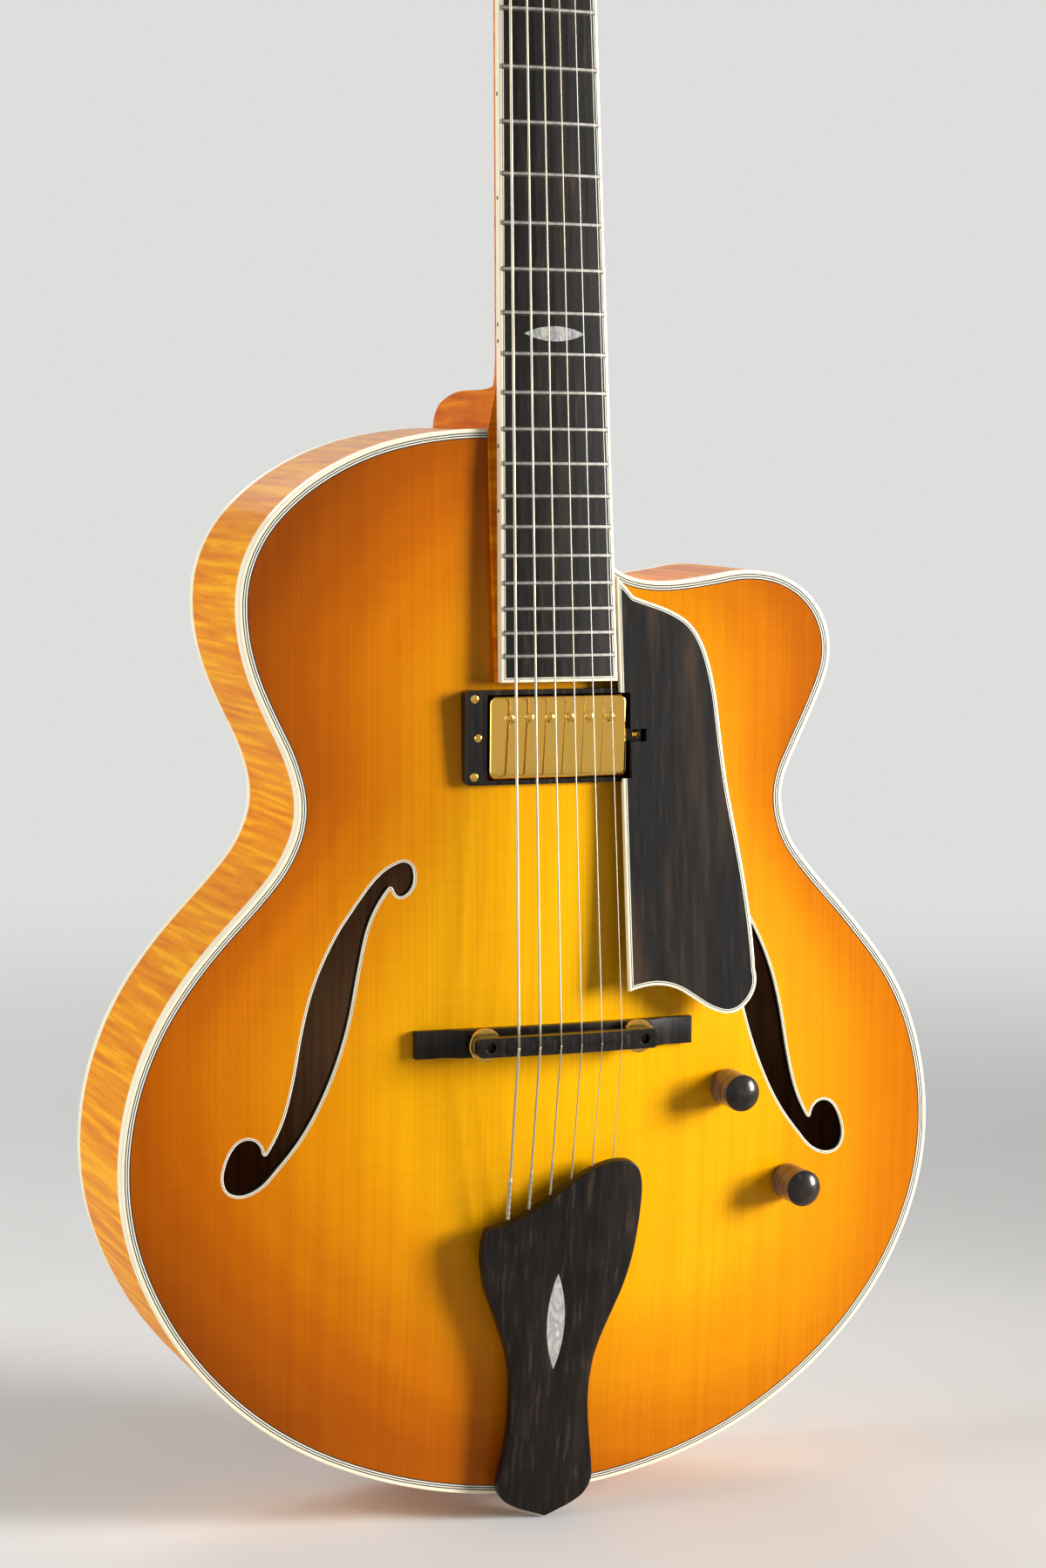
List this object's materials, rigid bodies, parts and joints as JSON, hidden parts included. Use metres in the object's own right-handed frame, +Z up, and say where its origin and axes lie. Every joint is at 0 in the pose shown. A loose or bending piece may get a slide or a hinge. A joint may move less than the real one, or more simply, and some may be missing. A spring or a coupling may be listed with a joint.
{
  "type": "archtop guitar",
  "caption": "Hollow archtop guitar with a rounded cutaway, sound holes, floating bridge, wooden tailpiece and a pickup at the end of the fingerboard.",
  "frame": {"origin": "bottom of the rim, on the centre line and at half the depth of the rim", "axes": "+Z up along the body towards the headstock, -Y out of the front, +X towards the treble side with the cutaway"},
  "size_m": [0.4117, 0.1312, 1.0324],
  "materials": {
    "spruce": "gloss lacquer, sunburst",
    "maple": "gloss lacquer, flamed",
    "inner_wood": "bare",
    "ebony": "oiled, fine brown streaks",
    "binding": "gloss",
    "pearl": "pearly",
    "bone": "polished",
    "gold": "polished plating",
    "fret_wire": "polished",
    "steel": "plain",
    "string_wire": "wound and plain",
    "black_plastic": "satin",
    "pot_case": "plain"
  },
  "bodies": {
    "guitar": {"back_binding": "binding", "back_plate": "maple", "bass_rib": "maple", "bridge_base": "ebony", "bridge_posts": "gold", "end_block": "inner_wood", "end_pin_jack": "gold", "f_hole_bindings": "binding", "fingerboard": "ebony", "fingerboard_binding": "binding", "fingerboard_inlay": "pearl", "frets": "fret_wire", "headstock_veneer": "ebony", "linings": "inner_wood", "neck": "maple", "neck_block": "inner_wood", "nut": "bone", "pickguard": "ebony", "pickguard_binding": "binding", "pickguard_standoffs": "gold", "pickup_ring": "ebony", "plain_strings": "string_wire", "potentiometers": "pot_case", "tailpiece": "ebony", "tailpiece_hinge": "gold", "tailpiece_inlay": "pearl", "tone_bars": "inner_wood", "top_binding": "binding", "top_plate": "spruce", "treble_rib": "maple", "truss_rod": "steel", "truss_rod_cover": "ebony", "tuner_housings": "gold", "wound_strings": "string_wire"},
    "pickup": {"pickup_cover": "gold", "pickup_bobbins": "black_plastic", "pickup_baseplate": "steel", "pole_screws": "gold"},
    "saddle": {"bridge_saddle": "ebony"},
    "wheel_bass": {"thumbwheel_bass": "gold"},
    "wheel_treble": {"thumbwheel_treble": "gold"},
    "screw_bass": {"height_screw_bass": "gold"},
    "screw_treble": {"height_screw_treble": "gold"},
    "volume": {"volume_knob": "ebony"},
    "tone": {"tone_knob": "ebony"},
    "post_1": {"tuner_post_1": "gold"},
    "button_1": {"tuner_button_1": "gold"},
    "post_2": {"tuner_post_2": "gold"},
    "button_2": {"tuner_button_2": "gold"},
    "post_3": {"tuner_post_3": "gold"},
    "button_3": {"tuner_button_3": "gold"},
    "post_4": {"tuner_post_4": "gold"},
    "button_4": {"tuner_button_4": "gold"},
    "post_5": {"tuner_post_5": "gold"},
    "button_5": {"tuner_button_5": "gold"},
    "post_6": {"tuner_post_6": "gold"},
    "button_6": {"tuner_button_6": "gold"}
  },
  "joints": [
    {"name": "saddle_height", "type": "slide", "parent": "guitar", "child": "saddle", "axis": [0, -1, 0], "range_m": [-0.0015, 0.003], "deforming": ["wound_strings", "plain_strings"]},
    {"name": "bass_wheel_turn", "type": "hinge", "parent": "saddle", "child": "wheel_bass", "pos_m": [-0.0387, -0.06276, 0.22391], "axis": [0, -1, 0], "range_deg": [-773, 1544]},
    {"name": "treble_wheel_turn", "type": "hinge", "parent": "saddle", "child": "wheel_treble", "pos_m": [0.0387, -0.06276, 0.22391], "axis": [0, -1, 0], "range_deg": [-773, 1544]},
    {"name": "pickup_height", "type": "slide", "parent": "guitar", "child": "pickup", "axis": [0, -1, 0], "range_m": [-0.002, 0.002]},
    {"name": "bass_height_screw_turn", "type": "hinge", "parent": "guitar", "child": "screw_bass", "pos_m": [-0.0395, -0.054, 0.3658], "axis": [0, -1, 0], "range_deg": [-1030, 1030]},
    {"name": "treble_height_screw_turn", "type": "hinge", "parent": "guitar", "child": "screw_treble", "pos_m": [0.0395, -0.054, 0.3658], "axis": [0, -1, 0], "range_deg": [-1030, 1030]},
    {"name": "volume_turn", "type": "hinge", "parent": "guitar", "child": "volume", "pos_m": [0.091, -0.05092, 0.19401], "axis": [0, -1, 0], "range_deg": [-150, 150]},
    {"name": "tone_turn", "type": "hinge", "parent": "guitar", "child": "tone", "pos_m": [0.127, -0.04616, 0.14401], "axis": [0, -1, 0], "range_deg": [-150, 150]},
    {"name": "button_1_turn", "type": "hinge", "parent": "guitar", "child": "button_1", "pos_m": [-0.046, 0.01861, 0.89808], "axis": [-1, 0, 0], "continuous": true},
    {"name": "post_1_turn", "type": "hinge", "parent": "guitar", "child": "post_1", "pos_m": [-0.027, -0.0021, 0.89765], "axis": [0, -0.9479, 0.3185], "continuous": true},
    {"name": "button_2_turn", "type": "hinge", "parent": "guitar", "child": "button_2", "pos_m": [-0.046, 0.03199, 0.93789], "axis": [-1, 0, 0], "continuous": true},
    {"name": "post_2_turn", "type": "hinge", "parent": "guitar", "child": "post_2", "pos_m": [-0.027, 0.01128, 0.93746], "axis": [0, -0.9479, 0.3185], "continuous": true},
    {"name": "button_3_turn", "type": "hinge", "parent": "guitar", "child": "button_3", "pos_m": [-0.046, 0.04537, 0.9777], "axis": [-1, 0, 0], "continuous": true},
    {"name": "post_3_turn", "type": "hinge", "parent": "guitar", "child": "post_3", "pos_m": [-0.027, 0.02465, 0.97728], "axis": [0, -0.9479, 0.3185], "continuous": true},
    {"name": "button_4_turn", "type": "hinge", "parent": "guitar", "child": "button_4", "pos_m": [0.046, 0.04537, 0.9777], "axis": [1, 0, 0], "continuous": true},
    {"name": "post_4_turn", "type": "hinge", "parent": "guitar", "child": "post_4", "pos_m": [0.027, 0.02465, 0.97728], "axis": [0, -0.9479, 0.3185], "continuous": true},
    {"name": "button_5_turn", "type": "hinge", "parent": "guitar", "child": "button_5", "pos_m": [0.046, 0.03199, 0.93789], "axis": [1, 0, 0], "continuous": true},
    {"name": "post_5_turn", "type": "hinge", "parent": "guitar", "child": "post_5", "pos_m": [0.027, 0.01128, 0.93746], "axis": [0, -0.9479, 0.3185], "continuous": true},
    {"name": "button_6_turn", "type": "hinge", "parent": "guitar", "child": "button_6", "pos_m": [0.046, 0.01861, 0.89808], "axis": [1, 0, 0], "continuous": true},
    {"name": "post_6_turn", "type": "hinge", "parent": "guitar", "child": "post_6", "pos_m": [0.027, -0.0021, 0.89765], "axis": [0, -0.9479, 0.3185], "continuous": true}
  ],
  "couplings": [
    {"joint": "bass_wheel_turn", "follows": "saddle_height", "rad_per_m": 8976},
    {"joint": "treble_wheel_turn", "follows": "saddle_height", "rad_per_m": 8976},
    {"joint": "bass_height_screw_turn", "follows": "pickup_height", "rad_per_m": 8976},
    {"joint": "treble_height_screw_turn", "follows": "pickup_height", "rad_per_m": 8976},
    {"joint": "post_1_turn", "follows": "button_1_turn", "ratio": 0.0625},
    {"joint": "post_2_turn", "follows": "button_2_turn", "ratio": 0.0625},
    {"joint": "post_3_turn", "follows": "button_3_turn", "ratio": 0.0625},
    {"joint": "post_4_turn", "follows": "button_4_turn", "ratio": 0.0625},
    {"joint": "post_5_turn", "follows": "button_5_turn", "ratio": 0.0625},
    {"joint": "post_6_turn", "follows": "button_6_turn", "ratio": 0.0625}
  ]
}
